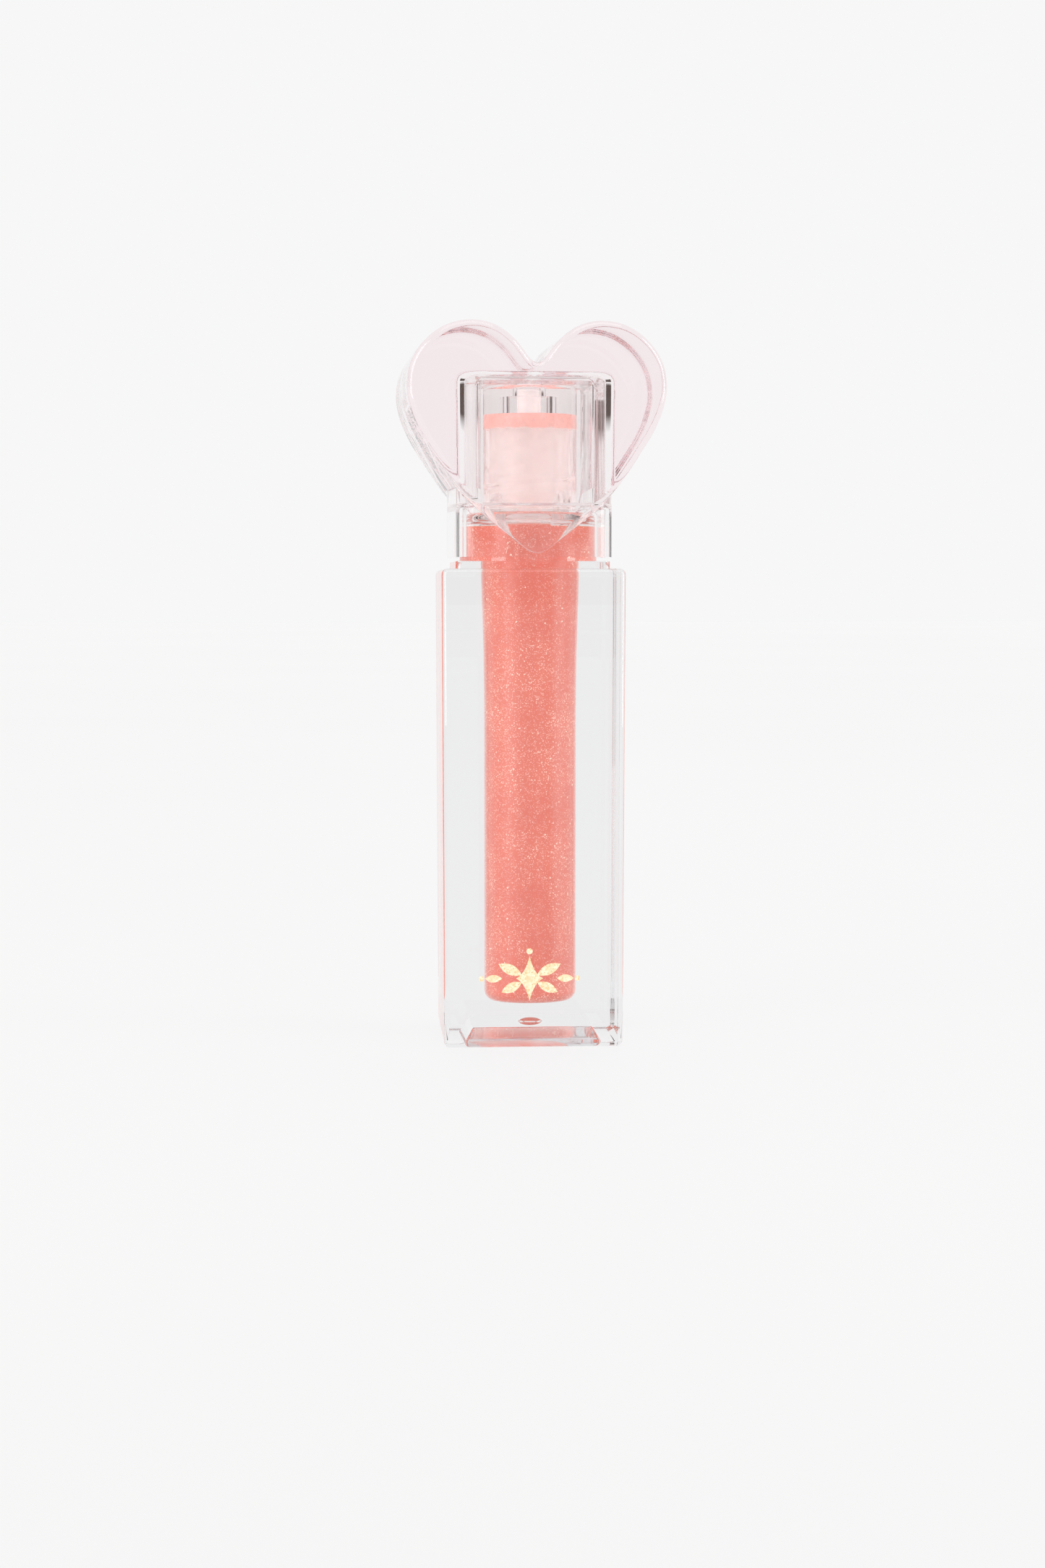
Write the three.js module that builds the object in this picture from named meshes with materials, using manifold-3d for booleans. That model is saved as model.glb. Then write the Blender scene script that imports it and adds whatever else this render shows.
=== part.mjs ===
// Lip gloss tube: a thick-walled clear square bottle with a round bore full of
// gloss, a heart-shaped screw cap over a square clear collar, and the wand inside.
// Millimetres, +Z up, origin at the centre of the base, front face towards -Y.

import * as THREE from 'three';
import { mergeVertices } from 'three/addons/utils/BufferGeometryUtils.js';
import Module from 'manifold-3d';

const wasm = await Module();
wasm.setup();

// ---- driving dimensions ----------------------------------------------------

const BODY_WIDTH = 20.0;
const BODY_TOP_WIDTH = 20.4;
const BODY_HEIGHT = 53.3;
const BODY_CORNER = 0.7;
const BASE_EDGE = 0.6;

const RECESS_WIDTH = 15.8;
const RECESS_CEILING_WIDTH = 13.4;
const RECESS_DEPTH = 2.0;
const RECESS_CORNER = 0.4;
const DIMPLE_RADIUS = 1.4;
const DIMPLE_HEIGHT = 0.5;

const BORE_FLOOR = 4.45;
const BORE_RADIUS = 5.15;
const BORE_TOP_RADIUS = 5.5;
const BORE_FILLET = 1.2;

const PEDESTAL_WIDTH = 17.2;
const PEDESTAL_TOP = 54.15;
const NECK_BASE_RADIUS = 7.8;
const NECK_BASE_TOP = 59.6;
const NECK_RADIUS = 4.3;
const NECK_BORE_RADIUS = 3.2;
const NECK_TOP = 69.3;

const THREAD_PITCH = 2.2;
const THREAD_TURNS = 1.7;
const THREAD_START = 61.0;
const THREAD_CREST = 4.6;

const GLOSS_GAP = 0.12;
const GLOSS_LEVEL = 57.7;
const GLOSS_WELL_RADIUS = 2.2;
const GLOSS_WELL_FLOOR = 8.2;

const WIPER_TOP = 70.2;
const WIPER_FLANGE_RADIUS = 4.15;
const WIPER_FLANGE = 0.85;
const WIPER_RADIUS = 3.05;
const WIPER_WALL = 0.5;
const WIPER_BOTTOM = 60.6;
const WIPER_ORIFICE_RADIUS = 2.1;

const ROD_RADIUS = 1.35;
const ROD_TOP = 73.4;
const ROD_END = 21.8;
const ROD_SPIGOT_RADIUS = 0.7;
const ROD_SPIGOT = 3.0;
const TIP_RADIUS = 1.9;
const TIP_BOTTOM = 8.8;

const LINER_RADIUS = 5.4;
const LINER_BORE_RADIUS = 4.95;
const LINER_THREAD_CREST = 4.78;
const LINER_BOTTOM = 60.0;
const LINER_SEAT = 70.6;
const LINER_POCKET_RADIUS = 2.4;
const LINER_ROOF = 72.6;
const LINER_TOP = 74.1;
const SOCKET_RADIUS = 1.6;
const SOCKET_TOP = 73.6;

// The cap stands a little turned from square with the bottle.
const CAP_TURN = 2.5 * Math.PI / 180;

const COLLAR_WIDTH = 17.5;
const COLLAR_CORNER = 2.9;
const COLLAR_TOP_ROUND = 1.2;
const COLLAR_CAVITY = 13.4;
const COLLAR_CAVITY_CORNER = 0.9;
const COLLAR_CAVITY_TOP = 74.25;
const COLLAR_SKIRT = 0.7;
const COLLAR_SKIRT_CORNER = 2.2;
const COLLAR_SKIRT_TOP = 60.6;
const COLLAR_BOTTOM = 54.7;
const TAB_WIDTH = 2.1;
const TAB_BOTTOM = 54.45;
const TAB_SHIFT = 0.25;
const COLLAR_TOP = 74.8;

const HEART_DEPTH = 20.4;
const HEART_EDGE = 0.9;
const HEART_WELL = 17.95;
const HEART_WELL_CORNER = 3.1;
const HEART_WELL_TOP = 75.05;
// Right half of the heart's outline, from the cleft round the lobe to the tip.
const HEART_HALF = [
  [0.0, 75.9], [0.75, 76.25], [1.55, 77.3], [2.65, 78.6], [4.6, 79.95], [7.15, 80.5],
  [10.0, 79.95], [12.4, 78.25], [13.95, 75.9], [14.4, 73.3], [14.0, 70.9], [13.0, 68.5],
  [11.5, 66.0], [9.9, 63.6], [8.4, 61.6], [6.6, 59.8], [4.6, 58.1], [2.5, 56.45],
  [1.15, 55.4], [0.0, 55.0],
];

const FOIL_THICKNESS = 0.1;
const FOIL_GAP = 0.05;
const FOIL_CENTRE = 7.8;
const FOIL_SHIFT = -0.5;

const ROUND_STEPS = 40;

// ---- materials -------------------------------------------------------------

function clear(color) {
  return new THREE.MeshStandardMaterial({
    color,
    roughness: 0.05,
    metalness: 0.0,
    transparent: true,
    opacity: 0.35,
  });
}

function plain(color, roughness, metalness = 0.0) {
  return new THREE.MeshStandardMaterial({ color, roughness, metalness });
}

// ---- solids ----------------------------------------------------------------

function toSolid(geometry) {
  const bare = geometry.clone();
  bare.deleteAttribute('normal');
  bare.deleteAttribute('uv');
  const merged = mergeVertices(bare, 1e-5);
  return new wasm.Manifold(new wasm.Mesh({
    numProp: 3,
    vertProperties: new Float32Array(merged.attributes.position.array),
    triVerts: new Uint32Array(merged.index.array),
  }));
}

function toGeometry(solid) {
  const mesh = solid.getMesh();
  const geometry = new THREE.BufferGeometry();
  const position = new THREE.BufferAttribute(mesh.vertProperties, 3);
  geometry.setAttribute('position', position);
  geometry.setIndex(new THREE.BufferAttribute(mesh.triVerts, 1));
  geometry.computeVertexNormals();
  return geometry;
}

function roundedSquare(width, corner) {
  const half = width / 2;
  const inner = half - corner;
  const shape = new THREE.Shape();
  shape.moveTo(-inner, -half);
  shape.lineTo(inner, -half);
  shape.absarc(inner, -inner, corner, -Math.PI / 2, 0, false);
  shape.lineTo(half, inner);
  shape.absarc(inner, inner, corner, 0, Math.PI / 2, false);
  shape.lineTo(-inner, half);
  shape.absarc(-inner, inner, corner, Math.PI / 2, Math.PI, false);
  shape.lineTo(-half, -inner);
  shape.absarc(-inner, -inner, corner, Math.PI, Math.PI * 1.5, false);
  return shape;
}

// A square block standing from bottom to top, with its edges rounded by `edge`.
function block(width, corner, bottom, top, edge = 0) {
  const geometry = new THREE.ExtrudeGeometry(roundedSquare(width, corner), {
    depth: top - bottom - 2 * edge,
    curveSegments: 5,
    bevelEnabled: edge > 0,
    bevelThickness: edge,
    bevelSize: edge,
    bevelOffset: -edge,
    bevelSegments: 3,
  });
  geometry.translate(0, 0, bottom + edge);
  return geometry;
}

// Widens a geometry evenly from its bottom to its top.
function taper(geometry, bottom, top, growth) {
  const position = geometry.attributes.position;
  for (let i = 0; i < position.count; i += 1) {
    const share = (position.getZ(i) - bottom) / (top - bottom);
    const scale = 1 + share * growth;
    position.setX(i, position.getX(i) * scale);
    position.setY(i, position.getY(i) * scale);
  }
  return geometry;
}

function turned(points, steps = ROUND_STEPS) {
  const profile = points.map(([radius, height]) => new THREE.Vector2(radius, height));
  const geometry = new THREE.LatheGeometry(profile, steps);
  geometry.rotateX(Math.PI / 2);
  return geometry;
}

function turnedSolid(points, steps = ROUND_STEPS) {
  return toSolid(turned(points, steps));
}

// A helical ridge whose root lies inside (or outside) the wall it grows from.
function ridge(rootRadius, crestRadius, start, turns) {
  const points = [];
  const count = Math.round(turns * 16);
  const middle = (rootRadius + crestRadius) / 2;
  for (let i = 0; i <= count; i += 1) {
    const angle = (i / count) * turns * Math.PI * 2;
    const height = start + (i / count) * turns * THREAD_PITCH;
    points.push(new THREE.Vector3(middle * Math.cos(angle), middle * Math.sin(angle), height));
  }
  const path = new THREE.CatmullRomCurve3(points);
  const across = Math.abs(crestRadius - rootRadius) / 2;
  const section = new THREE.Shape();
  section.absellipse(0, 0, across, across, 0, Math.PI * 2, false, 0);
  return toSolid(new THREE.ExtrudeGeometry(section, {
    steps: Math.round(turns * 24),
    curveSegments: 4,
    extrudePath: path,
    bevelEnabled: false,
  }));
}

// ---- bottle ----------------------------------------------------------------

function makeBlock() {
  const growth = BODY_TOP_WIDTH / BODY_WIDTH - 1;
  const geometry = block(BODY_WIDTH, BODY_CORNER, 0, BODY_HEIGHT + BASE_EDGE, BASE_EDGE);
  taper(geometry, 0, BODY_HEIGHT, growth);
  const cutter = new THREE.BoxGeometry(30, 30, 4);
  cutter.translate(0, 0, BODY_HEIGHT + 2);
  return toSolid(geometry).subtract(toSolid(cutter));
}

function makeRecess() {
  const shrink = RECESS_CEILING_WIDTH / RECESS_WIDTH - 1;
  const geometry = block(RECESS_WIDTH, RECESS_CORNER, -RECESS_DEPTH, RECESS_DEPTH);
  taper(geometry, 0, RECESS_DEPTH, shrink);
  const dome = new THREE.SphereGeometry(DIMPLE_RADIUS, 20, 10);
  dome.scale(1, 1, DIMPLE_HEIGHT / DIMPLE_RADIUS);
  dome.translate(0, 0, RECESS_DEPTH);
  return toSolid(geometry).add(toSolid(dome));
}

// Outline of the bore from the floor to `top`, moved inwards by `gap`.
function boreProfile(gap) {
  const points = [];
  const radius = BORE_RADIUS - gap;
  const fillet = BORE_FILLET - gap;
  for (let i = 0; i <= 4; i += 1) {
    const angle = (i / 4) * (Math.PI / 2);
    const out = radius - fillet + fillet * Math.sin(angle);
    points.push([out, BORE_FLOOR + gap + fillet - fillet * Math.cos(angle)]);
  }
  points.push([radius, 36]);
  points.push([radius + (BORE_TOP_RADIUS - BORE_RADIUS) * 0.35, 45]);
  points.push([BORE_TOP_RADIUS - gap, BODY_HEIGHT]);
  return points;
}

function makeBottleBody() {
  const pedestal = block(PEDESTAL_WIDTH, 0.8, BODY_HEIGHT - 1, PEDESTAL_TOP);
  const neck = turnedSolid([
    [0, BODY_HEIGHT - 1],
    [NECK_BASE_RADIUS, BODY_HEIGHT - 1],
    [NECK_BASE_RADIUS, NECK_BASE_TOP - 0.4],
    [NECK_BASE_RADIUS - 0.4, NECK_BASE_TOP],
    [NECK_RADIUS, NECK_BASE_TOP],
    [NECK_RADIUS, NECK_TOP - 0.2],
    [NECK_RADIUS - 0.2, NECK_TOP],
    [0, NECK_TOP],
  ]);
  const thread = ridge(NECK_RADIUS - 0.3, THREAD_CREST, THREAD_START, THREAD_TURNS);
  const bore = turnedSolid([
    [0, BORE_FLOOR],
    ...boreProfile(0),
    [BORE_TOP_RADIUS, NECK_BASE_TOP - 1.4],
    [NECK_BORE_RADIUS, NECK_BASE_TOP + 0.2],
    [NECK_BORE_RADIUS, NECK_TOP + 1],
    [0, NECK_TOP + 1],
  ]);
  const solid = makeBlock()
    .add(toSolid(pedestal))
    .add(neck)
    .add(thread)
    .subtract(bore)
    .subtract(makeRecess());
  return toGeometry(solid);
}

function makeGlossFill() {
  return turned([
    [0, BORE_FLOOR + GLOSS_GAP],
    ...boreProfile(GLOSS_GAP),
    [BORE_TOP_RADIUS - GLOSS_GAP, GLOSS_LEVEL],
    [GLOSS_WELL_RADIUS, GLOSS_LEVEL],
    [GLOSS_WELL_RADIUS, GLOSS_WELL_FLOOR],
    [0, GLOSS_WELL_FLOOR],
  ]);
}

function makeWiper() {
  const inside = WIPER_RADIUS - WIPER_WALL;
  return turned([
    [inside, WIPER_TOP],
    [inside, WIPER_BOTTOM + 2.0],
    [WIPER_ORIFICE_RADIUS, WIPER_BOTTOM + 0.6],
    [WIPER_ORIFICE_RADIUS, WIPER_BOTTOM],
    [WIPER_ORIFICE_RADIUS + 0.4, WIPER_BOTTOM],
    [WIPER_RADIUS, WIPER_BOTTOM + 2.0],
    [WIPER_RADIUS, WIPER_TOP - WIPER_FLANGE],
    [WIPER_FLANGE_RADIUS, WIPER_TOP - WIPER_FLANGE],
    [WIPER_FLANGE_RADIUS, WIPER_TOP],
    [inside, WIPER_TOP],
  ]);
}

// ---- wand ------------------------------------------------------------------

function makeRod() {
  return turned([
    [0, ROD_END - ROD_SPIGOT],
    [ROD_SPIGOT_RADIUS, ROD_END - ROD_SPIGOT],
    [ROD_SPIGOT_RADIUS, ROD_END],
    [ROD_RADIUS, ROD_END],
    [ROD_RADIUS, ROD_TOP - 0.2],
    [ROD_RADIUS - 0.2, ROD_TOP],
    [0, ROD_TOP],
  ], 24);
}

function makeTip() {
  const top = ROD_END - 0.2;
  const hole = ROD_SPIGOT_RADIUS + 0.2;
  return turned([
    [0, TIP_BOTTOM],
    [0.6, TIP_BOTTOM + 0.2],
    [1.15, TIP_BOTTOM + 0.9],
    [1.6, TIP_BOTTOM + 2.4],
    [TIP_RADIUS, TIP_BOTTOM + 5.0],
    [TIP_RADIUS, top - 3.0],
    [1.7, top - 0.8],
    [1.4, top],
    [hole, top],
    [hole, top - ROD_SPIGOT - 0.1],
    [0, top - ROD_SPIGOT - 0.1],
  ], 24);
}

// ---- cap -------------------------------------------------------------------

function makeLiner() {
  const shell = turnedSolid([
    [LINER_BORE_RADIUS, LINER_BOTTOM],
    [LINER_RADIUS, LINER_BOTTOM],
    [LINER_RADIUS, LINER_TOP - 0.5],
    [LINER_RADIUS - 0.5, LINER_TOP],
    [0, LINER_TOP],
    [0, SOCKET_TOP],
    [SOCKET_RADIUS, SOCKET_TOP],
    [SOCKET_RADIUS, LINER_ROOF],
    [LINER_POCKET_RADIUS, LINER_ROOF],
    [LINER_POCKET_RADIUS, LINER_SEAT],
    [LINER_BORE_RADIUS, LINER_SEAT],
    [LINER_BORE_RADIUS, LINER_BOTTOM],
  ]);
  const start = THREAD_START + THREAD_PITCH / 2;
  const thread = ridge(LINER_BORE_RADIUS + 0.2, LINER_THREAD_CREST, start, 1.5);
  return toGeometry(shell.add(thread));
}

function makeCollar() {
  const low = COLLAR_BOTTOM - 2;
  const outside = block(COLLAR_WIDTH, COLLAR_CORNER, low, COLLAR_TOP, COLLAR_TOP_ROUND);
  const inside = block(COLLAR_CAVITY, COLLAR_CAVITY_CORNER, low - 1, COLLAR_CAVITY_TOP, 0.4);
  const skirt = block(
    COLLAR_WIDTH - 2 * COLLAR_SKIRT,
    COLLAR_SKIRT_CORNER,
    low - 1,
    COLLAR_SKIRT_TOP,
    0.5,
  );
  const under = new THREE.BoxGeometry(30, 30, 4);
  under.translate(0, 0, COLLAR_BOTTOM - 2);
  const tab = new THREE.BoxGeometry(TAB_WIDTH, COLLAR_SKIRT, COLLAR_BOTTOM + 1 - TAB_BOTTOM);
  tab.translate(
    TAB_SHIFT,
    -(COLLAR_WIDTH - COLLAR_SKIRT) / 2,
    (COLLAR_BOTTOM + 1 + TAB_BOTTOM) / 2,
  );
  const cup = toSolid(outside)
    .subtract(toSolid(inside))
    .subtract(toSolid(skirt))
    .subtract(toSolid(under));
  return toGeometry(cup.add(toSolid(tab)));
}

function heartShape() {
  const right = HEART_HALF.map(([x, z]) => new THREE.Vector2(x, z));
  const left = HEART_HALF.slice(1, -1).reverse().map(([x, z]) => new THREE.Vector2(-x, z));
  const rest = [...right.slice(1), ...left, right[0]];
  const shape = new THREE.Shape();
  shape.moveTo(right[0].x, right[0].y);
  shape.splineThru(rest);
  return shape;
}

function makeHeart() {
  const straight = HEART_DEPTH - 2 * HEART_EDGE;
  const geometry = new THREE.ExtrudeGeometry(heartShape(), {
    depth: straight,
    curveSegments: 3,
    bevelEnabled: true,
    bevelThickness: HEART_EDGE,
    bevelSize: HEART_EDGE,
    bevelOffset: -HEART_EDGE,
    bevelSegments: 3,
  });
  geometry.translate(0, 0, -straight / 2);
  geometry.rotateX(Math.PI / 2);
  const well = block(HEART_WELL, HEART_WELL_CORNER, 40, HEART_WELL_TOP, COLLAR_TOP_ROUND);
  return toGeometry(toSolid(geometry).subtract(toSolid(well)));
}

// ---- foil ornament ---------------------------------------------------------

function leafShape(length, width) {
  const shape = new THREE.Shape();
  shape.moveTo(-length / 2, 0);
  shape.quadraticCurveTo(0, -width, length / 2, 0);
  shape.quadraticCurveTo(0, width, -length / 2, 0);
  return shape;
}

function dotShape(radius) {
  const shape = new THREE.Shape();
  shape.absarc(0, 0, radius, 0, Math.PI * 2, false);
  return shape;
}

function foil(shape) {
  const geometry = new THREE.ExtrudeGeometry(shape, {
    depth: FOIL_THICKNESS,
    curveSegments: 8,
    bevelEnabled: false,
  });
  geometry.rotateX(Math.PI / 2);
  return geometry;
}

function sparkleShape(across, tall) {
  const shape = new THREE.Shape();
  const waist = across * 0.16;
  shape.moveTo(across / 2, 0);
  shape.quadraticCurveTo(waist, waist, 0, tall / 2);
  shape.quadraticCurveTo(-waist, waist, -across / 2, 0);
  shape.quadraticCurveTo(-waist, -waist, 0, -tall / 2);
  shape.quadraticCurveTo(waist, -waist, across / 2, 0);
  return shape;
}

// Name, outline, how far right and up of the ornament's centre, and turn.
const FOIL_PIECES = [
  ['foil_sparkle', sparkleShape(3.0, 5.0), 0, 0, 0],
  ['foil_dot_top', dotShape(0.34), 0, 3.05, 0],
];
for (const [side, sign] of [['left', -1], ['right', 1]]) {
  FOIL_PIECES.push(
    [`foil_leaf_upper_${side}`, leafShape(2.9, 1.15), sign * 2.15, 1.0, sign * -0.45],
    [`foil_leaf_lower_${side}`, leafShape(2.5, 1.05), sign * 2.0, -1.0, sign * 0.45],
    [`foil_leaf_outer_${side}`, leafShape(1.9, 0.85), sign * 4.0, 0, 0],
    [`foil_dot_${side}`, dotShape(0.3), sign * 5.35, 0, 0],
  );
}

// ---- assembly --------------------------------------------------------------

const clearPlastic = clear(0xf2f4f5);
const pinkPlastic = clear(0xf6dfe4);

const tube = new THREE.Group();

function place(parent, name, geometry, material) {
  const mesh = new THREE.Mesh(geometry, material);
  mesh.name = name;
  parent.add(mesh);
  return mesh;
}

const bottle = new THREE.Group();
tube.add(bottle);
place(bottle, 'bottle_body', makeBottleBody(), clearPlastic.clone());
place(bottle, 'gloss_fill', makeGlossFill(), plain(0xee8b7c, 0.25));
place(bottle, 'wiper', makeWiper(), plain(0xf3d6d0, 0.4));

const wand = new THREE.Group();
tube.add(wand);
place(wand, 'applicator_rod', makeRod(), plain(0xf0e6e4, 0.3));
place(wand, 'applicator_tip', makeTip(), plain(0xf0b9ad, 0.95));

const cap = new THREE.Group();
cap.rotation.z = CAP_TURN;
tube.add(cap);
place(cap, 'cap_liner', makeLiner(), clearPlastic.clone());
place(cap, 'cap_collar', makeCollar(), clearPlastic.clone());
place(cap, 'heart_cap', makeHeart(), pinkPlastic.clone());

const lean = Math.atan((BODY_TOP_WIDTH - BODY_WIDTH) / 2 / BODY_HEIGHT);
const ornament = new THREE.Group();
const faceAtFoil = BODY_WIDTH / 2 + FOIL_CENTRE * Math.tan(lean);
ornament.position.set(FOIL_SHIFT, -faceAtFoil - FOIL_GAP, FOIL_CENTRE);
ornament.rotation.x = lean;
bottle.add(ornament);
for (const [name, shape, across, up, turn] of FOIL_PIECES) {
  const mesh = place(ornament, name, foil(shape), plain(0xd9b27a, 0.25, 1.0));
  mesh.position.set(across, 0, up);
  mesh.rotation.y = turn;
}

export default tube;
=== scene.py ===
"""Lip gloss tube: the looks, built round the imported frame. Metres, +Z up, front towards -Y."""

import math

import bpy
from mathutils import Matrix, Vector


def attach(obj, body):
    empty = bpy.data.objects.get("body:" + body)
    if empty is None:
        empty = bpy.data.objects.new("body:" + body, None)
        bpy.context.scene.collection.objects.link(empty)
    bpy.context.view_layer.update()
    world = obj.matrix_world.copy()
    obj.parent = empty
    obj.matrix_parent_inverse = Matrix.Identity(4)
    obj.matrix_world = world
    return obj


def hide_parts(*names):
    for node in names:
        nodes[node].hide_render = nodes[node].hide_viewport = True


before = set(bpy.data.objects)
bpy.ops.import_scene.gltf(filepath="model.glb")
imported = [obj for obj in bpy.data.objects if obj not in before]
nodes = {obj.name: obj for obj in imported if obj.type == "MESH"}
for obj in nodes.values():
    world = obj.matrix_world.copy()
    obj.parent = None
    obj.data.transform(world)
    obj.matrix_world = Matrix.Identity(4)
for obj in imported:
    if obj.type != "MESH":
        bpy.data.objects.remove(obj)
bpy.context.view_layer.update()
bpy.ops.object.select_all(action="DESELECT")

MM = 0.001
scene = bpy.context.scene
scene.view_settings.view_transform = "Standard"
scene.cycles.max_bounces = 32
scene.cycles.transmission_bounces = 32
scene.cycles.glossy_bounces = 16
scene.cycles.transparent_max_bounces = 16

# ---- sizes, in millimetres ---------------------------------------------------

BODY_WIDTH = 20.0
BODY_TOP_WIDTH = 20.4
BODY_HEIGHT = 53.3
BODY_CORNER = 0.7
BASE_EDGE = 0.66
TOP_EDGE = 0.66
PEDESTAL_WIDTH = 17.2
PEDESTAL_CORNER = 0.8
PEDESTAL_TOP = 54.15

RECESS_WIDTH = 15.8
RECESS_CEILING = 13.4
RECESS_DEPTH = 2.0
RECESS_CORNER = 0.4
DIMPLE_RADIUS = 1.4
DIMPLE_HEIGHT = 0.5

BORE_FLOOR = 4.45
BORE_RADIUS = 5.15
BORE_FILLET = 1.2
BORE_TOP_RADIUS = 5.5
# the bore widens towards its top: height and radius
BORE_FLARE = ((36, 5.15), (40, 5.17), (44, 5.235), (47, 5.32), (50, 5.42), (53, 5.5))
NECK_BASE_RADIUS = 7.8
NECK_BASE_TOP = 59.6
NECK_RADIUS = 4.5
NECK_BORE = 3.3
NECK_TOP = 69.3
THREAD_CREST = 4.72
THREAD_START = 61.0
THREAD_TURNS = 1.7
THREAD_PITCH = 2.2
GLOSS_LEVEL = 57.9
GLOSS_OVERLAP = 0.03

WIPER_TOP = 70.2
WIPER_FLANGE = 4.15
WIPER_BORE = 2.55
WIPER_LIP = 2.1
ROD_RADIUS = 1.35
ROD_SPIGOT = 0.7
ROD_SPIGOT_END = 18.8
ROD_END = 21.8
ROD_TOP = 73.4

CAP_TURN = 2.5
COLLAR_WIDTH = 17.5
COLLAR_CORNER = 2.9
COLLAR_CAVITY = 13.4
COLLAR_CAVITY_TOP = 74.25
COLLAR_SKIRT = 0.7
COLLAR_SKIRT_TOP = 60.6
COLLAR_BOTTOM = 54.6
COLLAR_TOP = 74.8
CAP_TOP_ROUND = 1.2
CAVITY_CORNER = 0.9
CAVITY_ROUND = 0.8
CORNER_STEPS = 14
TAB_WIDTH = 2.1
TAB_DROP = 0.22
TAB_SHIFT = 0.25
LINER_RADIUS = 5.4
LINER_BORE = 4.95
LINER_BOTTOM = 60.0
LINER_SEAT = 70.6
LINER_TOP = 74.05
LINER_POCKET = 2.4
LINER_POCKET_TOP = 72.6
LINER_SOCKET = 1.45
LINER_SOCKET_TOP = 73.6
LINER_THREAD_CREST = 4.74
LINER_THREAD_START = 61.4
LINER_THREAD_TURNS = 1.5

HEART_DEPTH = 20.4
HEART_EDGE = 0.9
WELL_GAP = 0.45
WELL_ROOF_GAP = 0.25
# right half of the heart's outline, from the notch down to the tip: x and height
HEART_HALF = [
    (0.0, 75.9), (0.75, 76.25), (1.55, 77.3), (2.65, 78.6), (4.6, 79.95), (7.15, 80.5),
    (10.0, 79.95), (12.4, 78.25), (13.95, 75.9), (14.4, 73.3), (14.0, 70.9), (13.0, 68.5),
    (11.5, 66.0), (9.9, 63.6), (8.4, 61.6), (6.6, 59.8), (4.6, 58.1), (2.5, 56.45),
    (1.15, 55.4), (0.0, 55.0),
]

SAME_HEIGHT = 0.01

# ---- mesh tools ----------------------------------------------------------------


def active(o):
    """Selects this object alone."""
    bpy.ops.object.select_all(action="DESELECT")
    o.select_set(True)
    bpy.context.view_layer.objects.active = o


def edit(o, mode="VERT"):
    """Opens the object's mesh for editing with nothing selected."""
    if bpy.context.mode != "OBJECT":
        bpy.ops.object.mode_set(mode="OBJECT")
    active(o)
    bpy.ops.object.mode_set(mode="EDIT")
    bpy.ops.mesh.select_mode(type=mode)
    bpy.ops.mesh.select_all(action="DESELECT")


def done():
    bpy.ops.object.mode_set(mode="OBJECT")


def pick(o, kind, test):
    """Selects, in edit mode, the vertices, edges or faces whose middle passes the test."""
    mode = {"vertices": "VERT", "edges": "EDGE", "polygons": "FACE"}[kind]
    edit(o, mode)
    bpy.ops.object.mode_set(mode="OBJECT")
    me = o.data
    for group in (me.vertices, me.edges, me.polygons):
        for item in group:
            item.select = False
    for item in getattr(me, kind):
        if kind == "vertices":
            middle = item.co
        elif kind == "edges":
            a, b = item.vertices
            middle = (me.vertices[a].co + me.vertices[b].co) / 2
        else:
            middle = item.center
        if test(middle / MM, item):
            item.select = True
            if kind != "vertices":
                for v in item.vertices:
                    me.vertices[v].select = True
    bpy.ops.object.mode_set(mode="EDIT")


def chain(name, points):
    """A line of vertices through the points (millimetres), drawn by extruding one vertex."""
    bpy.ops.mesh.primitive_plane_add(size=MM, location=(0, 0, 0))
    o = bpy.context.object
    o.name = o.data.name = name
    edit(o)
    bpy.ops.mesh.select_all(action="SELECT")
    bpy.ops.mesh.merge(type="CENTER")
    here = Vector((0, 0, 0))
    for i, point in enumerate(points):
        step = (Vector(point) - here) * MM
        if i == 0:
            bpy.ops.transform.translate(value=step)
        else:
            bpy.ops.mesh.extrude_region_move(TRANSFORM_OT_translate={"value": step})
        here = Vector(point)
    return o


def lathe(name, profile, steps=128):
    """A turned piece: the profile (radius, height) in millimetres, spun about the upright axis."""
    o = chain(name, [(r, 0, z) for r, z in profile])
    bpy.ops.mesh.select_all(action="SELECT")
    bpy.ops.mesh.spin(
        steps=steps, angle=2 * math.pi, center=(0, 0, 0), axis=(0, 0, 1), use_auto_merge=True
    )
    bpy.ops.mesh.select_all(action="SELECT")
    bpy.ops.mesh.remove_doubles(threshold=1e-6)
    bpy.ops.mesh.dissolve_degenerate(threshold=1e-7)
    bpy.ops.mesh.select_all(action="SELECT")
    bpy.ops.mesh.normals_make_consistent(inside=False)
    done()
    smooth(o, 35)
    return o


def smooth(o, angle):
    """Smooth shading that keeps the sharp edges sharp and the broad flats flat."""
    active(o)
    bpy.ops.object.shade_smooth_by_angle(angle=math.radians(angle))
    m = o.modifiers.new("flats", "WEIGHTED_NORMAL")
    m.keep_sharp = True
    bpy.ops.object.modifier_apply(modifier=m.name)


def block(name, width, low, high, corner, top_width=None, corner_steps=8):
    """A square block with rounded upright edges, drawn in or out towards its top."""
    bpy.ops.mesh.primitive_cube_add(size=1, location=(0, 0, 0))
    o = bpy.context.object
    o.name = o.data.name = name
    edit(o)
    bpy.ops.mesh.select_all(action="SELECT")
    bpy.ops.transform.resize(value=(width * MM, width * MM, (high - low) * MM))
    bpy.ops.transform.translate(value=(0, 0, (high + low) / 2 * MM))
    pick(o, "edges", lambda m, e: abs(m.x) > width * 0.4 and abs(m.y) > width * 0.4)
    bpy.ops.mesh.bevel(offset=corner * MM, segments=corner_steps, affect="EDGES")
    if top_width:
        pick(o, "vertices", lambda m, v: m.z > high - SAME_HEIGHT)
        share = top_width / width
        bpy.ops.transform.resize(value=(share, share, 1), center_override=(0, 0, high * MM))
    done()
    return o


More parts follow.
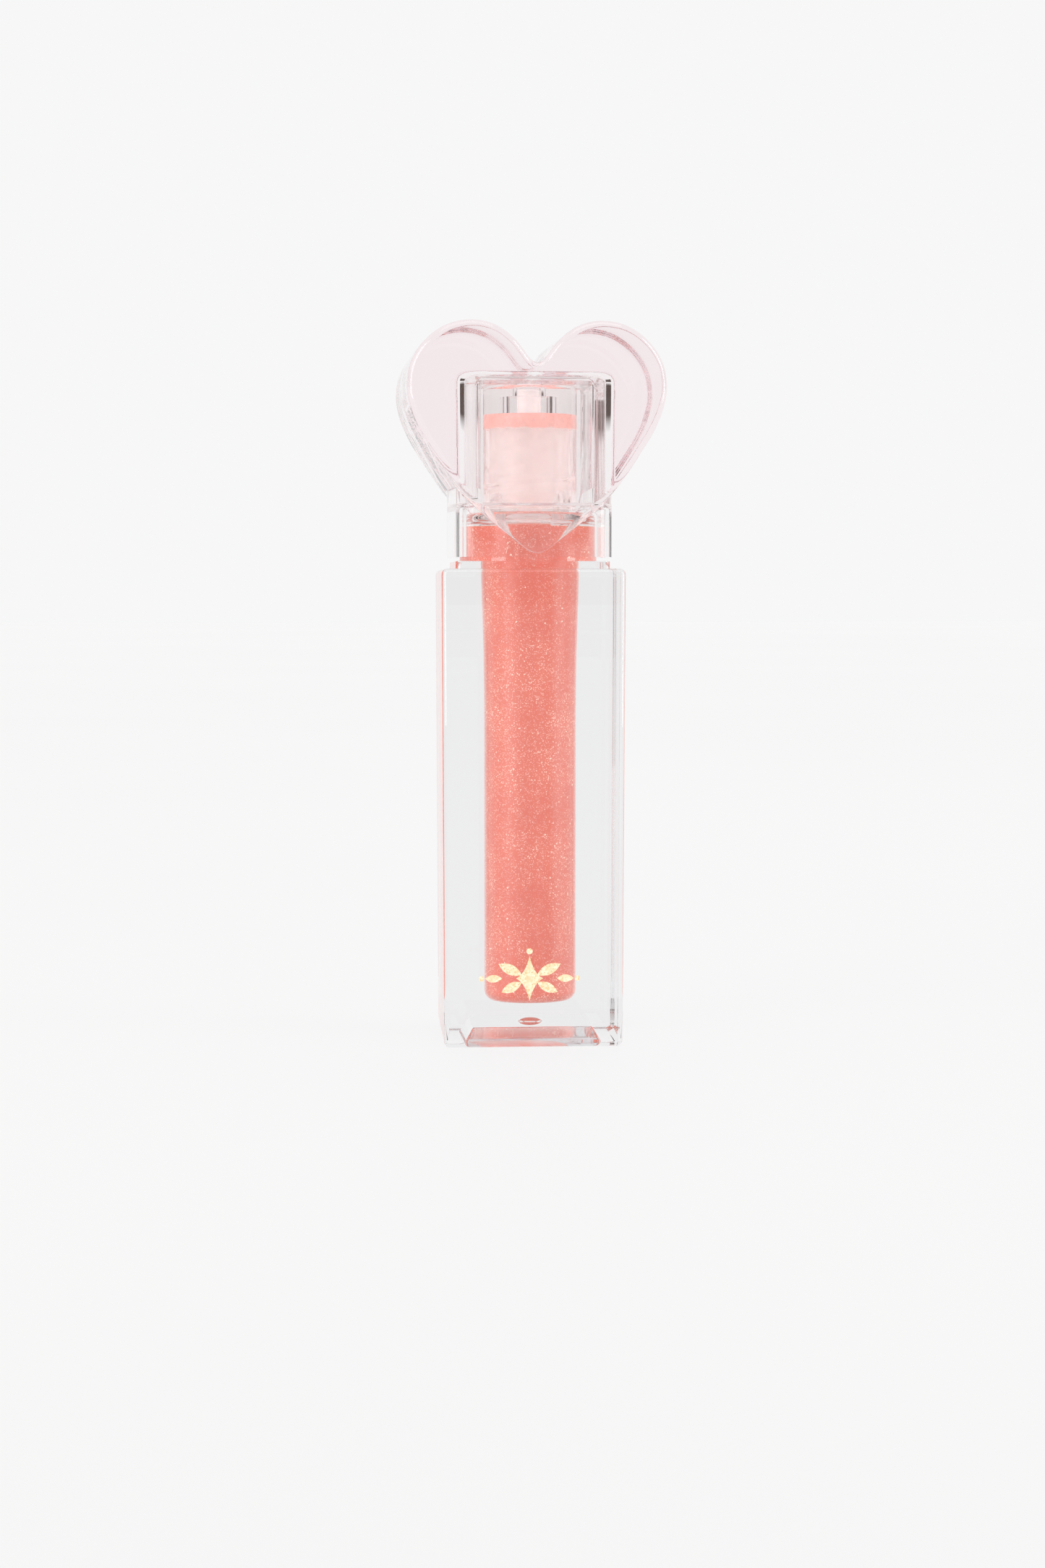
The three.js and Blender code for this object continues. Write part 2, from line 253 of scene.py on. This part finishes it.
def round_rim(o, height, radius, segments):
    """Rounds the edges that lie at one height."""
    pick(
        o,
        "edges",
        lambda m, e: abs(m.z - height) < SAME_HEIGHT and flat_edge(o, e, height),
    )
    bpy.ops.mesh.bevel(offset=radius * MM, segments=segments, affect="EDGES", profile=0.5)
    done()


def flat_edge(o, e, height):
    """True if both ends of the edge are at that height."""
    return all(abs(o.data.vertices[v].co.z / MM - height) < SAME_HEIGHT for v in e.vertices)


def combine(o, other, operation):
    """Adds the other solid to o or cuts it away, and uses the other up."""
    active(o)
    m = o.modifiers.new("join", "BOOLEAN")
    m.operation = operation
    m.solver = "EXACT"
    m.object = other
    bpy.ops.object.modifier_apply(modifier=m.name)
    bpy.data.objects.remove(other)


def helix(name, root, crest, half_foot, half_tip, start, turns, pitch):
    """A screw thread's ridge: a four-sided section carried up a helix, its ends closed."""
    section = [
        (root, 0, start - half_foot),
        (crest, 0, start - half_tip),
        (crest, 0, start + half_tip),
        (root, 0, start + half_foot),
        (root, 0, start - half_foot),
    ]
    o = chain(name, section)
    bpy.ops.mesh.select_all(action="SELECT")
    bpy.ops.mesh.remove_doubles(threshold=1e-6)
    done()
    active(o)
    m = o.modifiers.new("screw", "SCREW")
    m.axis = "Z"
    m.angle = turns * 2 * math.pi
    m.screw_offset = turns * pitch * MM
    m.steps = m.render_steps = int(turns * 96)
    m.use_merge_vertices = False
    bpy.ops.object.modifier_apply(modifier=m.name)
    edit(o)
    bpy.ops.mesh.select_non_manifold(extend=False, use_boundary=True)
    bpy.ops.mesh.edge_face_add()
    bpy.ops.mesh.select_all(action="SELECT")
    bpy.ops.mesh.normals_make_consistent(inside=False)
    done()
    return o


# ---- material tools --------------------------------------------------------------


class Value:
    """A number or a socket in a material's node tree, with the arithmetic operators."""

    def __init__(self, paint, socket):
        self.paint = paint
        self.socket = socket

    def _math(self, operation, a, b):
        return self.paint.node("ShaderNodeMath", {"operation": operation}, [a, b])

    def __add__(self, other):
        return self._math("ADD", self, other)

    def __mul__(self, other):
        return self._math("MULTIPLY", self, other)

    def __gt__(self, other):
        return self._math("GREATER_THAN", self, other)


class Paint:
    """One material and the ways to lay nodes in it."""

    def __init__(self, name, tree=None):
        if tree is None:
            self.material = bpy.data.materials.new(name)
            self.material.use_nodes = True
            tree = self.material.node_tree
            tree.nodes.clear()
            self.out = tree.nodes.new("ShaderNodeOutputMaterial")
        self.tree = tree

    def node(self, kind, settings=None, inputs=None, output=0):
        made = self.tree.nodes.new(kind)
        for key, value in (settings or {}).items():
            setattr(made, key, value)
        items = inputs.items() if isinstance(inputs, dict) else enumerate(inputs or [])
        for key, value in items:
            socket = made.inputs[key]
            if isinstance(value, Value):
                self.tree.links.new(value.socket, socket)
            elif isinstance(value, (tuple, list)) and len(value) == 3 and socket.type == "RGBA":
                socket.default_value = (*value, 1)
            else:
                socket.default_value = value
        return Value(self, made.outputs[output])

    def place(self):
        return self.node("ShaderNodeTexCoord", output="Object")

    def noise(self, scale, detail=2.0, rough=0.5, vector=None, output=0):
        return self.node(
            "ShaderNodeTexNoise",
            {},
            {"Vector": vector or self.place(), "Scale": scale, "Detail": detail, "Roughness": rough},
            output,
        )

    def blend(self, share, a, b):
        return self.node(
            "ShaderNodeMix", {"data_type": "RGBA"}, {"Factor": share, 6: a, 7: b}, output=2
        )

    def ramp(self, value, low, high, to_low=0.0, to_high=1.0):
        return self.node(
            "ShaderNodeMapRange",
            {"clamp": True},
            {"Value": value, "From Min": low, "From Max": high, "To Min": to_low, "To Max": to_high},
        )

    def finish(self, shader):
        self.tree.links.new(shader.socket, self.out.inputs["Surface"])
        return self.material


def principled(paint, **inputs):
    names = {key.replace("_", " "): value for key, value in inputs.items()}
    return paint.node("ShaderNodeBsdfPrincipled", {}, names)


def clear_plastic(name, tint, ior, dye, depth):
    """Clear plastic that lamps shine through; dye colours a thick path, depth says how strongly."""
    paint = Paint(name)
    haze = paint.ramp(paint.noise(350, 3.0), 0.45, 0.75, 0.0, 0.012)
    shader = principled(
        paint,
        Base_Color=tint,
        Roughness=haze,
        IOR=ior,
        Transmission_Weight=1.0,
    )
    lamp = paint.node("ShaderNodeLightPath", output="Is Shadow Ray")
    open_way = paint.node("ShaderNodeBsdfTransparent", {}, [(0.985, 0.98, 0.98)])
    both = paint.node("ShaderNodeMixShader", {}, [lamp, shader, open_way])
    inside = paint.node("ShaderNodeVolumeAbsorption", {}, {"Color": dye, "Density": depth})
    paint.tree.links.new(inside.socket, paint.out.inputs["Volume"])
    return paint.finish(both)


def shimmer_gloss():
    """Coral gel with fine pale flecks hanging in it, thicker in drifts. The flecks glow faintly,
    which is a painted glint.
    """
    paint = Paint("coral shimmer gloss")
    at = paint.place()
    cloud = paint.noise(160, 3.0, 0.55, at)
    drift = paint.ramp(cloud, 0.38, 0.68)
    base = paint.blend(drift, (0.82, 0.18, 0.125), (0.87, 0.225, 0.155))
    gel = principled(
        paint,
        Base_Color=base,
        Roughness=0.3,
        IOR=1.46,
        Subsurface_Weight=0.45,
        Subsurface_Radius=(0.0012, 0.0005, 0.0003),
        Subsurface_Scale=1.0,
        Sheen_Weight=0.3,
        Sheen_Roughness=0.5,
        Coat_Weight=0.8,
        Coat_Roughness=0.22,
    )
    fine = fleck_mask(paint, at, 9500.0, 0.70, 0.34) * paint.ramp(cloud, 0.32, 0.66, 0.2, 0.9)
    middle = fleck_mask(paint, at, 5200.0, 0.86, 0.30) * paint.ramp(cloud, 0.36, 0.62, 0.3, 1.0)
    coarse = fleck_mask(paint, at, 3100.0, 0.982, 0.27)
    some = paint.node("ShaderNodeMath", {"operation": "MAXIMUM"}, [fine, middle])
    flecks = paint.node("ShaderNodeMath", {"operation": "MAXIMUM"}, [some, coarse])
    leaf = principled(
        paint,
        Base_Color=(1.0, 0.72, 0.62),
        Roughness=0.35,
        Metallic=0.3,
        # painted light: the flecks glow faintly so that they sparkle
        Emission_Color=(1.0, 0.78, 0.68),
        Emission_Strength=0.16,
    )
    return paint.finish(paint.node("ShaderNodeMixShader", {}, [flecks, gel, leaf]))


def fleck_mask(paint, at, scale, least, size):
    """1 in the middles of a few cells of a random pattern, 0 elsewhere."""
    wander = paint.noise(scale * 0.6, 1.0, 0.5, at, output=1)
    bent = paint.node(
        "ShaderNodeVectorMath",
        {"operation": "MULTIPLY_ADD"},
        [wander, (0.9 / scale, 0.9 / scale, 0.9 / scale), at],
    )
    pattern = {"Vector": bent, "Scale": scale}
    distance = paint.node("ShaderNodeTexVoronoi", {}, pattern)
    seed = paint.node("ShaderNodeTexVoronoi", {}, pattern, output="Color")
    chosen = paint.node("ShaderNodeSeparateColor", {}, [seed]) > least
    return chosen * paint.ramp(distance, size, size * 1.5, 1.0, 0.0)


def milky_plastic(name, low, high, cover):
    """Soft translucent plastic wet with gloss, cloudy and pale, with a faint painted glow that stands
    in for light passing through it.
    """
    paint = Paint(name)
    cloud = paint.ramp(paint.noise(500, 3.0), 0.3, 0.7)
    shader = principled(
        paint,
        Base_Color=paint.blend(cloud, low, high),
        Roughness=0.35,
        Subsurface_Weight=0.5,
        Subsurface_Radius=(0.002, 0.001, 0.0008),
        Subsurface_Scale=1.0,
        # painted light: a faint glow in the plastic's pale colour, so that it looks lit from within
        Emission_Color=high,
        Emission_Strength=0.1,
        Alpha=paint.ramp(cloud, 0.0, 1.0, cover, cover + 0.12),
    )
    return paint.finish(shader)


def smear():
    """Gloss wiped thin over clear plastic: a thick ring above, a pale veil below. Both glow faintly,
    which is painted light.
    """
    paint = Paint("smeared gloss")
    at = paint.place()
    height = paint.node("ShaderNodeSeparateXYZ", {}, [at], output=2)
    streak = paint.noise(900, 3.0, 0.6, at)
    edge = height + streak * 0.0004
    low, high = 0.0691, 0.0693
    ring = paint.ramp(edge, low, high)
    shader = principled(
        paint,
        Base_Color=paint.blend(ring, (0.97, 0.80, 0.77), (0.93, 0.50, 0.44)),
        Roughness=0.4,
        # painted light: the ring and the veil glow faintly in their own colours
        Emission_Color=paint.blend(ring, (1.0, 0.84, 0.82), (0.95, 0.5, 0.45)),
        Emission_Strength=0.2,
        Alpha=paint.ramp(streak, 0.35, 0.65, 0.8, 1.25) * paint.ramp(edge, low, high, 0.12, 0.55),
    )
    return paint.finish(shader)


def flock():
    """Short dense hair, with painted shade where it parts: the colour is darker where the bump is
    low.
    """
    paint = Paint("flocked tip soaked in gloss")
    hair = paint.noise(9000, 2.0)
    bump = paint.node("ShaderNodeBump", {}, {"Strength": 0.6, "Distance": 0.0001, "Height": hair})
    shader = principled(
        paint,
        # painted shade: the same noise that sets the bump height darkens the low parts
        Base_Color=paint.blend(paint.ramp(hair, 0.3, 0.7), (0.7, 0.2, 0.16), (0.9, 0.4, 0.34)),
        Roughness=0.7,
        Normal=bump,
    )
    return paint.finish(shader)


def gold_foil():
    """Pale gold leaf of many small flat grains, with a faint painted glow that stands in for its
    glints.
    """
    paint = Paint("pale gold glitter foil")
    at = paint.place()
    grain = paint.node("ShaderNodeTexVoronoi", {}, {"Vector": at, "Scale": 5200.0}, output="Color")
    seed = paint.node("ShaderNodeSeparateColor", {}, [grain])
    bump = paint.node("ShaderNodeBump", {}, {"Strength": 0.5, "Distance": 0.00004, "Height": seed})
    colour = paint.blend(seed, (0.86, 0.60, 0.32), (1.0, 0.88, 0.66))
    shader = principled(
        paint,
        Base_Color=colour,
        Roughness=paint.ramp(seed, 0.0, 1.0, 0.25, 0.5),
        Metallic=0.35,
        # painted light: each grain glows faintly in its own colour
        Emission_Color=colour,
        Emission_Strength=0.18,
        Normal=bump,
    )
    return paint.finish(shader)


def dress(o, material):
    """Gives the piece this one material."""
    o.data.materials.clear()
    o.data.materials.append(material)


# ---- bottle ----------------------------------------------------------------------


def bore_profile(shift=0.0):
    """The bore's floor, fillet and flaring wall; a shift moves them outwards."""
    points = [(0.0, BORE_FLOOR - shift)]
    for i in range(11):
        a = i / 10 * math.pi / 2
        points.append(
            (
                BORE_RADIUS - BORE_FILLET + (BORE_FILLET + shift) * math.sin(a),
                BORE_FLOOR + BORE_FILLET - (BORE_FILLET + shift) * math.cos(a),
            )
        )
    for z, r in BORE_FLARE:
        points.append((r + shift, z))
    return points


def make_bottle():
    """Square block, pedestal and threaded neck in one, bored from above and recessed below."""
    o = block("bottle", BODY_WIDTH, 0, BODY_HEIGHT, BODY_CORNER, top_width=BODY_TOP_WIDTH)
    round_rim(o, 0, BASE_EDGE, 8)
    round_rim(o, BODY_HEIGHT, TOP_EDGE, 6)
    pedestal = block("pedestal", PEDESTAL_WIDTH, BODY_HEIGHT - 1, PEDESTAL_TOP, PEDESTAL_CORNER)
    round_rim(pedestal, PEDESTAL_TOP, 0.15, 3)
    combine(o, pedestal, "UNION")
    neck = lathe(
        "neck",
        [
            (0, BODY_HEIGHT - 0.5),
            (NECK_BASE_RADIUS, BODY_HEIGHT - 0.5),
            (NECK_BASE_RADIUS, NECK_BASE_TOP - 0.6),
            (NECK_BASE_RADIUS - 0.17, NECK_BASE_TOP - 0.2),
            (NECK_BASE_RADIUS - 0.6, NECK_BASE_TOP),
            (NECK_RADIUS + 0.5, NECK_BASE_TOP),
            (NECK_RADIUS + 0.14, NECK_BASE_TOP + 0.15),
            (NECK_RADIUS, NECK_BASE_TOP + 0.5),
            (NECK_RADIUS, NECK_TOP - 0.3),
            (NECK_RADIUS - 0.1, NECK_TOP - 0.1),
            (NECK_RADIUS - 0.3, NECK_TOP),
            (0, NECK_TOP),
        ],
    )
    thread = helix(
        "thread", NECK_RADIUS - 0.3, THREAD_CREST, 0.5, 0.12, THREAD_START, THREAD_TURNS, THREAD_PITCH
    )
    combine(neck, thread, "UNION")
    combine(o, neck, "UNION")
    bore = lathe(
        "bore",
        bore_profile()
        + [
            (BORE_TOP_RADIUS, NECK_BASE_TOP - 1.4),
            (BORE_TOP_RADIUS - 0.2, NECK_BASE_TOP - 1.0),
            (NECK_BORE + 0.15, NECK_BASE_TOP + 0.05),
            (NECK_BORE, NECK_BASE_TOP + 0.4),
            (NECK_BORE, NECK_TOP + 1),
            (0, NECK_TOP + 1),
        ],
    )
    combine(o, bore, "DIFFERENCE")
    recess_foot = 2 * RECESS_WIDTH - RECESS_CEILING
    recess = block("recess", recess_foot, -RECESS_DEPTH, RECESS_DEPTH, RECESS_CORNER)
    pick(recess, "vertices", lambda m, v: m.z > 0)
    share = RECESS_CEILING / recess_foot
    bpy.ops.transform.resize(value=(share, share, 1), center_override=(0, 0, 0))
    done()
    round_rim(recess, RECESS_DEPTH, 0.15, 3)
    combine(o, recess, "DIFFERENCE")
    dimple = lathe(
        "dimple",
        [(0, 1.0), (DIMPLE_RADIUS, 1.0)]
        + [
            (DIMPLE_RADIUS * math.cos(a), RECESS_DEPTH + DIMPLE_HEIGHT * math.sin(a))
            for a in angles(0, 90, 10)
        ],
        steps=48,
    )
    combine(o, dimple, "DIFFERENCE")
    smooth(o, 30)
    return o


def angles(low, high, count):
    """Evenly spaced angles, in radians, from low to high degrees."""
    return [math.radians(low + (high - low) * i / count) for i in range(count + 1)]


def make_gloss():
    """The gloss, filled into the neck's foot and wetting the wall; the wand stands in it."""
    return lathe(
        "gloss",
        bore_profile(GLOSS_OVERLAP)
        + [
            (BORE_TOP_RADIUS + GLOSS_OVERLAP, GLOSS_LEVEL + 0.2),
            (BORE_TOP_RADIUS - 0.15, GLOSS_LEVEL + 0.1),
            (BORE_TOP_RADIUS - 0.5, GLOSS_LEVEL),
            (2.1, GLOSS_LEVEL),
            (1.4, GLOSS_LEVEL + 0.25),
            (1.2, GLOSS_LEVEL + 0.6),
            (0, GLOSS_LEVEL + 0.6),
        ],
    )


def make_film():
    """Gloss smeared by the wand round the inside of the liner, thick above the neck."""
    bore = LINER_BORE
    return lathe(
        "gloss_film",
        [
            (bore + 0.02, 60.1), (bore + 0.02, 70.62), (4.3, 70.62), (4.3, 70.5),
            (bore - 0.12, 70.45), (bore - 0.1, 69.2), (bore - 0.02, 68.8), (bore - 0.02, 60.1),
            (bore + 0.02, 60.1),
        ],
        steps=96,
    )


# ---- cap ---------------------------------------------------------------------------


def smooth_outline(points, count):
    """Points along a smooth curve through a closed ring of points (Catmull-Rom)."""
    ring = []
    total = len(points)
    for i in range(total):
        p0, p1, p2, p3 = (Vector(points[(i + k - 1) % total]) for k in range(4))
        for j in range(count):
            t = j / count
            ring.append(
                0.5
                * (
                    2 * p1
                    + (p2 - p0) * t
                    + (2 * p0 - 5 * p1 + 4 * p2 - p3) * t * t
                    + (3 * p1 - p0 - 3 * p2 + p3) * t * t * t
                )
            )
    return ring


def make_heart():
    """The thick heart with rounded rims, and the square well for the collar in it."""
    left = [(-x, z) for x, z in reversed(HEART_HALF[1:-1])]
    ring = smooth_outline([(x, z) for x, z in HEART_HALF] + left, 6)
    half = HEART_DEPTH / 2
    o = chain("heart", [(p[0], -half, p[1]) for p in ring])
    bpy.ops.mesh.select_all(action="SELECT")
    bpy.ops.mesh.edge_face_add()
    bpy.ops.mesh.select_all(action="SELECT")
    bpy.ops.mesh.extrude_region_move(
        TRANSFORM_OT_translate={"value": (0, HEART_DEPTH * MM, 0)}
    )
    bpy.ops.mesh.select_all(action="SELECT")
    bpy.ops.mesh.normals_make_consistent(inside=False)

    def rim(m, e):
        ends = [o.data.vertices[v].co.y / MM for v in e.vertices]
        return abs(ends[0] - ends[1]) < 0.01

    pick(o, "edges", rim)
    bpy.ops.mesh.bevel(
        offset=HEART_EDGE * MM, segments=8, affect="EDGES", profile=0.5, clamp_overlap=True
    )
    done()
    well_top = COLLAR_TOP + WELL_ROOF_GAP
    well = block(
        "well", COLLAR_WIDTH + WELL_GAP, 40, well_top, COLLAR_CORNER + 0.2, corner_steps=CORNER_STEPS
    )
    round_rim(well, well_top, CAP_TOP_ROUND, 8)
    combine(o, well, "DIFFERENCE")
    smooth(o, 30)
    return o


def make_collar():
    """Square cup: thick walls above, a thin skirt below, and a small tab at the front."""
    o = block("collar", COLLAR_WIDTH, 50, COLLAR_TOP, COLLAR_CORNER, corner_steps=CORNER_STEPS)
    round_rim(o, COLLAR_TOP, CAP_TOP_ROUND, 8)
    inside = block("collar_inside", COLLAR_CAVITY, 49, COLLAR_CAVITY_TOP, CAVITY_CORNER)
    round_rim(inside, COLLAR_CAVITY_TOP, CAVITY_ROUND, 6)
    skirt_width = COLLAR_WIDTH - 2 * COLLAR_SKIRT
    skirt_corner = COLLAR_CORNER - COLLAR_SKIRT
    skirt = block(
        "collar_skirt", skirt_width, 48, COLLAR_SKIRT_TOP, skirt_corner, corner_steps=CORNER_STEPS
    )
    round_rim(skirt, COLLAR_SKIRT_TOP, CAVITY_ROUND, 6)
    under = block("under", 30, 45, COLLAR_BOTTOM, 1)
    tab = block("tab", TAB_WIDTH, COLLAR_BOTTOM - TAB_DROP, COLLAR_BOTTOM + 0.5, 0.1, corner_steps=2)
    edit(tab)
    bpy.ops.mesh.select_all(action="SELECT")
    bpy.ops.transform.resize(value=(1, (COLLAR_SKIRT - 0.06) / TAB_WIDTH, 1))
    bpy.ops.transform.translate(value=(TAB_SHIFT * MM, -(COLLAR_WIDTH - COLLAR_SKIRT) / 2 * MM, 0))
    done()
    combine(o, inside, "DIFFERENCE")
    combine(o, skirt, "DIFFERENCE")
    combine(o, under, "DIFFERENCE")
    combine(o, tab, "UNION")
    smooth(o, 30)
    return o


def make_liner():
    """Round screw cap: threaded bore, a pocket over the neck and a socket for the rod."""
    outer, bore = LINER_RADIUS, LINER_BORE
    o = lathe(
        "liner",
        [
            (bore, LINER_BOTTOM), (outer, LINER_BOTTOM), (outer, 73.4), (outer - 0.1, 73.8),
            (outer - 0.35, 74.0), (outer - 0.6, LINER_TOP), (0, LINER_TOP),
            (0, LINER_SOCKET_TOP), (LINER_SOCKET, LINER_SOCKET_TOP), (LINER_SOCKET, LINER_POCKET_TOP),
            (LINER_POCKET, LINER_POCKET_TOP), (LINER_POCKET, LINER_SEAT),
            (bore, LINER_SEAT), (bore, LINER_BOTTOM),
        ],
    )
    thread = helix(
        "liner_thread", bore + 0.2, LINER_THREAD_CREST, 0.4, 0.12,
        LINER_THREAD_START, LINER_THREAD_TURNS, THREAD_PITCH,
    )
    combine(o, thread, "UNION")
    smooth(o, 30)
    return o


def make_wiper():
    """Sleeve in the neck's bore: a flange above, and a lip that wipes the wand below."""
    out = NECK_BORE + 0.02
    flange = WIPER_FLANGE
    return lathe(
        "wiper_sleeve",
        [
            (WIPER_BORE, WIPER_TOP), (WIPER_BORE, 62.3), (2.15, 61.2), (WIPER_LIP, 60.8),
            (2.2, 60.6), (2.45, 60.7), (out - 0.1, 61.9), (out, 62.3), (out, 69.35), (4.0, 69.35),
            (4.1, 69.45), (flange, 69.6), (flange, 69.9), (4.08, 70.1), (3.9, WIPER_TOP),
            (WIPER_BORE, WIPER_TOP),
        ],
    )


def make_rod():
    """The wand's rod, with a thin spigot at its lower end for the flocked tip."""
    return lathe(
        "rod",
        [
            (0, ROD_SPIGOT_END), (ROD_SPIGOT, ROD_SPIGOT_END), (ROD_SPIGOT, ROD_END),
            (ROD_RADIUS, ROD_END), (ROD_RADIUS, ROD_TOP - 0.2), (1.2, ROD_TOP), (0, ROD_TOP),
        ],
        steps=64,
    )


def turn_cap(o):
    """The cap stands a little turned from square with the bottle."""
    edit(o)
    bpy.ops.mesh.select_all(action="SELECT")
    bpy.ops.transform.rotate(
        value=-math.radians(CAP_TURN), orient_axis="Z", center_override=(0, 0, 0)
    )
    done()


bottle = make_bottle()
gloss = make_gloss()
heart = make_heart()
collar = make_collar()
liner = make_liner()
wiper = make_wiper()
rod = make_rod()
film = make_film()
for piece in (heart, collar, liner):
    turn_cap(piece)

CLEAR = clear_plastic("clear bottle plastic", (0.99, 0.99, 0.99), 1.53, (0.47, 0.50, 0.53), 8.0)
CAP_CLEAR = clear_plastic("clear cap plastic", (0.99, 0.985, 0.985), 1.36, (1.0, 0.6, 0.62), 5.0)
PINK = clear_plastic("pale pink cap plastic", (0.99, 0.985, 0.985), 1.5, (1.0, 0.26, 0.42), 6.2)
GLOSS = shimmer_gloss()
WIPER_MILK = milky_plastic("wiper plastic", (0.95, 0.80, 0.78), (0.98, 0.87, 0.85), 0.42)
ROD_MILK = milky_plastic("rod plastic", (0.96, 0.80, 0.77), (0.98, 0.87, 0.85), 0.25)

for piece, body, node, slot, material in (
    (bottle, "bottle", "bottle_body", "clear_plastic", CLEAR),
    (gloss, "bottle", "gloss_fill", "gloss", GLOSS),
    (wiper, "bottle", "wiper", "wiper_plastic", WIPER_MILK),
    (rod, "wand", "applicator_rod", "rod_plastic", ROD_MILK),
    (liner, "cap", "cap_liner", "clear_plastic", CAP_CLEAR),
    (collar, "cap", "cap_collar", "clear_plastic", CAP_CLEAR),
    (heart, "cap", "heart_cap", "pink_plastic", PINK),
):
    dress(piece, material)
    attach(piece, body)
    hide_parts(node)

dress(film, smear())
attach(film, "cap")
dress(nodes["applicator_tip"], flock())
FOIL = gold_foil()
for name, o in nodes.items():
    if name.startswith("foil_"):
        dress(o, FOIL)

# ---- set ----------------------------------------------------------------------------

LEFT_LIGHT = 1.5 * 1.3
RIGHT_LIGHT = 1.5
TOP_LIGHT = 0.8
LAMP_AIM = (0, 0, 0.04)
FLOOR_GLOW = 0.82
BACK_WHITE = 0.93
ROOM_DIM = (0.58, 0.48, 0.47)
ROOM_FROM = -0.6
FLAG_DARK = (0.07, 0.05, 0.04)
FLAG_FROM = 0.80
FLAG_BACK = 0.45


def make_floor():
    """A wide pale floor, lit mostly from within so that it stays even."""
    bpy.ops.mesh.primitive_plane_add(size=8.0, location=(0, 0, 0))
    floor = bpy.context.object
    floor.name = "floor"
    paint = Paint("pale floor")
    shade = paint.ramp(paint.noise(3.0), 0.3, 0.7)
    colour = paint.blend(shade, (0.055, 0.055, 0.055), (0.065, 0.065, 0.065))
    shader = principled(
        paint,
        Base_Color=colour,
        Roughness=0.7,
        Specular_IOR_Level=0.1,
        Emission_Color=(1.0, 1.0, 1.0),
        Emission_Strength=FLOOR_GLOW,
    )
    dress(floor, paint.finish(shader))


def make_world():
    """A plain white backdrop, round a room with dark flags at the sides and a dim front."""
    world = bpy.data.worlds.new("studio")
    scene.world = world
    world.use_nodes = True
    world.node_tree.nodes.clear()
    sky = Paint("studio", world.node_tree)
    way = sky.node("ShaderNodeTexCoord", output="Generated")
    x = sky.node("ShaderNodeSeparateXYZ", {}, [way], output=0)
    y = sky.node("ShaderNodeSeparateXYZ", {}, [way], output=1)
    z = sky.node("ShaderNodeSeparateXYZ", {}, [way], output=2)
    across = sky.node("ShaderNodeMath", {"operation": "ABSOLUTE"}, [x])
    aside = sky.ramp(across, FLAG_FROM, FLAG_FROM + 0.06)
    raised = sky.ramp(z, 0.028, 0.045) * sky.ramp(z, 0.25, 0.35, 1.0, 0.0)
    flag = aside * raised * sky.ramp(y, FLAG_BACK, FLAG_BACK + 0.1, 1.0, 0.0)
    front = sky.ramp(y, ROOM_FROM, ROOM_FROM + 0.25, 1.0, 0.0)
    white = (BACK_WHITE,) * 3
    room = sky.blend(flag, sky.blend(front, white, ROOM_DIM), FLAG_DARK)
    seen = sky.node("ShaderNodeLightPath", output="Is Camera Ray")
    colour = sky.blend(seen, room, white)
    light = sky.node("ShaderNodeBackground", {}, {"Color": colour, "Strength": 1.0})
    out = sky.tree.nodes.new("ShaderNodeOutputWorld")
    sky.tree.links.new(light.socket, out.inputs["Surface"])


def area(name, place, size, watts):
    """A soft lamp turned to the middle of the bottle, and not seen through clear plastic."""
    data = bpy.data.lights.new(name, "AREA")
    data.shape = "RECTANGLE"
    data.size, data.size_y = size
    data.energy = watts
    lamp = bpy.data.objects.new(name, data)
    scene.collection.objects.link(lamp)
    lamp.location = place
    lamp.visible_transmission = False
    lamp.rotation_euler = (Vector(LAMP_AIM) - Vector(place)).to_track_quat("-Z", "Y").to_euler()


CAMERA_DISTANCE = 300.0
CAMERA_AZIMUTH = -4.0
CAMERA_HEIGHT = 51.0
CAMERA_PITCH = 4.1
CAMERA_PAN = 0.244
CAMERA_LENS = 62.3


def make_camera():
    """In front of the bottle and a little to its left, looking slightly down."""
    data = bpy.data.cameras.new("camera")
    data.lens = CAMERA_LENS
    data.sensor_width = 36
    camera = bpy.data.objects.new("camera", data)
    scene.collection.objects.link(camera)
    a = math.radians(CAMERA_AZIMUTH)
    camera.location = (
        math.sin(a) * CAMERA_DISTANCE * MM,
        (-BODY_WIDTH / 2 - math.cos(a) * CAMERA_DISTANCE) * MM,
        CAMERA_HEIGHT * MM,
    )
    camera.rotation_euler = (
        math.radians(90 - CAMERA_PITCH),
        0,
        a + math.radians(CAMERA_PAN),
    )
    data.clip_start, data.clip_end = 0.01, 20
    scene.camera = camera


make_floor()
make_world()
area("left softbox", (-0.44, -0.33, 0.22), (0.30, 0.6), LEFT_LIGHT)
area("right softbox", (0.53, -0.16, 0.22), (0.18, 0.6), RIGHT_LIGHT)
area("top softbox", (0.0, -0.15, 0.62), (0.5, 0.4), TOP_LIGHT)
make_camera()
